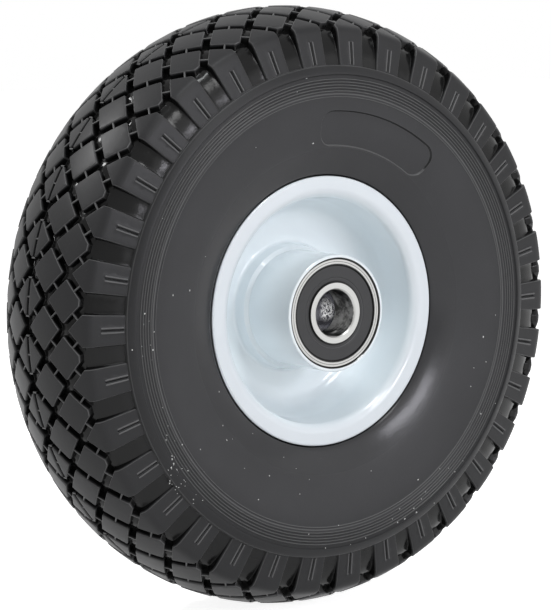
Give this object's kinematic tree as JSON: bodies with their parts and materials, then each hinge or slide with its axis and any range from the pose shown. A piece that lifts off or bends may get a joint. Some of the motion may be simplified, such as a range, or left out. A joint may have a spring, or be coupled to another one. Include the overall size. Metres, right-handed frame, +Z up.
{
  "type": "polyurethane trolley wheel",
  "caption": "Solid polyurethane trolley wheel: diamond tread with shoulder lugs on a dished pressed steel rim, with a hub tube and sealed ball bearings on a through bore.",
  "frame": {"origin": "centre of the wheel: on the axle bore's axis, in the tyre's middle plane", "axes": "+Y along the spin axis towards the back face, the face shown in the picture looks along -Y, +Z up; the wheel turns about +Y"},
  "size_m": [0.26, 0.076, 0.26],
  "materials": {
    "tyre": "satin moulded polyurethane, charcoal black",
    "rim_paint": "gloss white paint on pressed steel",
    "bearing_steel": "ground bright steel",
    "seal_rubber": "satin black rubber",
    "ball_steel": "polished steel",
    "cage_steel": "pressed steel sheet",
    "sleeve_steel": "drawn steel tube, oiled"
  },
  "bodies": {
    "axle_side": {"spacer_sleeve": "sleeve_steel", "front_bearing_inner_ring": "bearing_steel", "back_bearing_inner_ring": "bearing_steel"},
    "wheel": {"tyre": "tyre", "rim_front_half": "rim_paint", "rim_back_half": "rim_paint", "hub_tube": "rim_paint", "front_bearing_outer_ring": "bearing_steel", "front_bearing_outer_seal": "seal_rubber", "front_bearing_inner_seal": "seal_rubber", "back_bearing_outer_ring": "bearing_steel", "back_bearing_outer_seal": "seal_rubber", "back_bearing_inner_seal": "seal_rubber"},
    "front_cage": {"front_bearing_cage_outer_half": "cage_steel", "front_bearing_cage_inner_half": "cage_steel", "front_bearing_cage_rivets": "cage_steel"},
    "front_ball_1": {"front_bearing_ball_1": "ball_steel"},
    "front_ball_2": {"front_bearing_ball_2": "ball_steel"},
    "front_ball_3": {"front_bearing_ball_3": "ball_steel"},
    "front_ball_4": {"front_bearing_ball_4": "ball_steel"},
    "front_ball_5": {"front_bearing_ball_5": "ball_steel"},
    "front_ball_6": {"front_bearing_ball_6": "ball_steel"},
    "front_ball_7": {"front_bearing_ball_7": "ball_steel"},
    "front_ball_8": {"front_bearing_ball_8": "ball_steel"},
    "back_cage": {"back_bearing_cage_outer_half": "cage_steel", "back_bearing_cage_inner_half": "cage_steel", "back_bearing_cage_rivets": "cage_steel"},
    "back_ball_1": {"back_bearing_ball_1": "ball_steel"},
    "back_ball_2": {"back_bearing_ball_2": "ball_steel"},
    "back_ball_3": {"back_bearing_ball_3": "ball_steel"},
    "back_ball_4": {"back_bearing_ball_4": "ball_steel"},
    "back_ball_5": {"back_bearing_ball_5": "ball_steel"},
    "back_ball_6": {"back_bearing_ball_6": "ball_steel"},
    "back_ball_7": {"back_bearing_ball_7": "ball_steel"},
    "back_ball_8": {"back_bearing_ball_8": "ball_steel"}
  },
  "joints": [
    {"name": "wheel_spin", "type": "hinge", "parent": "axle_side", "child": "wheel", "pos_m": [0, 0, 0], "axis": [0, 1, 0], "continuous": true},
    {"name": "front_cage_spin", "type": "hinge", "parent": "axle_side", "child": "front_cage", "pos_m": [0, -0.03, 0], "axis": [0, 1, 0], "continuous": true},
    {"name": "front_ball_1_spin", "type": "hinge", "parent": "front_cage", "child": "front_ball_1", "pos_m": [0.01675, -0.03, 0], "axis": [0, 1, 0], "continuous": true},
    {"name": "front_ball_2_spin", "type": "hinge", "parent": "front_cage", "child": "front_ball_2", "pos_m": [0.01184, -0.03, -0.01184], "axis": [0, 1, 0], "continuous": true},
    {"name": "front_ball_3_spin", "type": "hinge", "parent": "front_cage", "child": "front_ball_3", "pos_m": [0, -0.03, -0.01675], "axis": [0, 1, 0], "continuous": true},
    {"name": "front_ball_4_spin", "type": "hinge", "parent": "front_cage", "child": "front_ball_4", "pos_m": [-0.01184, -0.03, -0.01184], "axis": [0, 1, 0], "continuous": true},
    {"name": "front_ball_5_spin", "type": "hinge", "parent": "front_cage", "child": "front_ball_5", "pos_m": [-0.01675, -0.03, 0], "axis": [0, 1, 0], "continuous": true},
    {"name": "front_ball_6_spin", "type": "hinge", "parent": "front_cage", "child": "front_ball_6", "pos_m": [-0.01184, -0.03, 0.01184], "axis": [0, 1, 0], "continuous": true},
    {"name": "front_ball_7_spin", "type": "hinge", "parent": "front_cage", "child": "front_ball_7", "pos_m": [0, -0.03, 0.01675], "axis": [0, 1, 0], "continuous": true},
    {"name": "front_ball_8_spin", "type": "hinge", "parent": "front_cage", "child": "front_ball_8", "pos_m": [0.01184, -0.03, 0.01184], "axis": [0, 1, 0], "continuous": true},
    {"name": "back_cage_spin", "type": "hinge", "parent": "axle_side", "child": "back_cage", "pos_m": [0, 0.03, 0], "axis": [0, 1, 0], "continuous": true},
    {"name": "back_ball_1_spin", "type": "hinge", "parent": "back_cage", "child": "back_ball_1", "pos_m": [0.01675, 0.03, 0], "axis": [0, 1, 0], "continuous": true},
    {"name": "back_ball_2_spin", "type": "hinge", "parent": "back_cage", "child": "back_ball_2", "pos_m": [0.01184, 0.03, -0.01184], "axis": [0, 1, 0], "continuous": true},
    {"name": "back_ball_3_spin", "type": "hinge", "parent": "back_cage", "child": "back_ball_3", "pos_m": [0, 0.03, -0.01675], "axis": [0, 1, 0], "continuous": true},
    {"name": "back_ball_4_spin", "type": "hinge", "parent": "back_cage", "child": "back_ball_4", "pos_m": [-0.01184, 0.03, -0.01184], "axis": [0, 1, 0], "continuous": true},
    {"name": "back_ball_5_spin", "type": "hinge", "parent": "back_cage", "child": "back_ball_5", "pos_m": [-0.01675, 0.03, 0], "axis": [0, 1, 0], "continuous": true},
    {"name": "back_ball_6_spin", "type": "hinge", "parent": "back_cage", "child": "back_ball_6", "pos_m": [-0.01184, 0.03, 0.01184], "axis": [0, 1, 0], "continuous": true},
    {"name": "back_ball_7_spin", "type": "hinge", "parent": "back_cage", "child": "back_ball_7", "pos_m": [0, 0.03, 0.01675], "axis": [0, 1, 0], "continuous": true},
    {"name": "back_ball_8_spin", "type": "hinge", "parent": "back_cage", "child": "back_ball_8", "pos_m": [0.01184, 0.03, 0.01184], "axis": [0, 1, 0], "continuous": true}
  ],
  "couplings": [
    {"joint": "front_cage_spin", "follows": "wheel_spin", "ratio": 0.61848},
    {"joint": "front_ball_1_spin", "follows": "wheel_spin", "ratio": 1.9916},
    {"joint": "front_ball_2_spin", "follows": "wheel_spin", "ratio": 1.9916},
    {"joint": "front_ball_3_spin", "follows": "wheel_spin", "ratio": 1.9916},
    {"joint": "front_ball_4_spin", "follows": "wheel_spin", "ratio": 1.9916},
    {"joint": "front_ball_5_spin", "follows": "wheel_spin", "ratio": 1.9916},
    {"joint": "front_ball_6_spin", "follows": "wheel_spin", "ratio": 1.9916},
    {"joint": "front_ball_7_spin", "follows": "wheel_spin", "ratio": 1.9916},
    {"joint": "front_ball_8_spin", "follows": "wheel_spin", "ratio": 1.9916},
    {"joint": "back_cage_spin", "follows": "wheel_spin", "ratio": 0.61848},
    {"joint": "back_ball_1_spin", "follows": "wheel_spin", "ratio": 1.9916},
    {"joint": "back_ball_2_spin", "follows": "wheel_spin", "ratio": 1.9916},
    {"joint": "back_ball_3_spin", "follows": "wheel_spin", "ratio": 1.9916},
    {"joint": "back_ball_4_spin", "follows": "wheel_spin", "ratio": 1.9916},
    {"joint": "back_ball_5_spin", "follows": "wheel_spin", "ratio": 1.9916},
    {"joint": "back_ball_6_spin", "follows": "wheel_spin", "ratio": 1.9916},
    {"joint": "back_ball_7_spin", "follows": "wheel_spin", "ratio": 1.9916},
    {"joint": "back_ball_8_spin", "follows": "wheel_spin", "ratio": 1.9916}
  ]
}
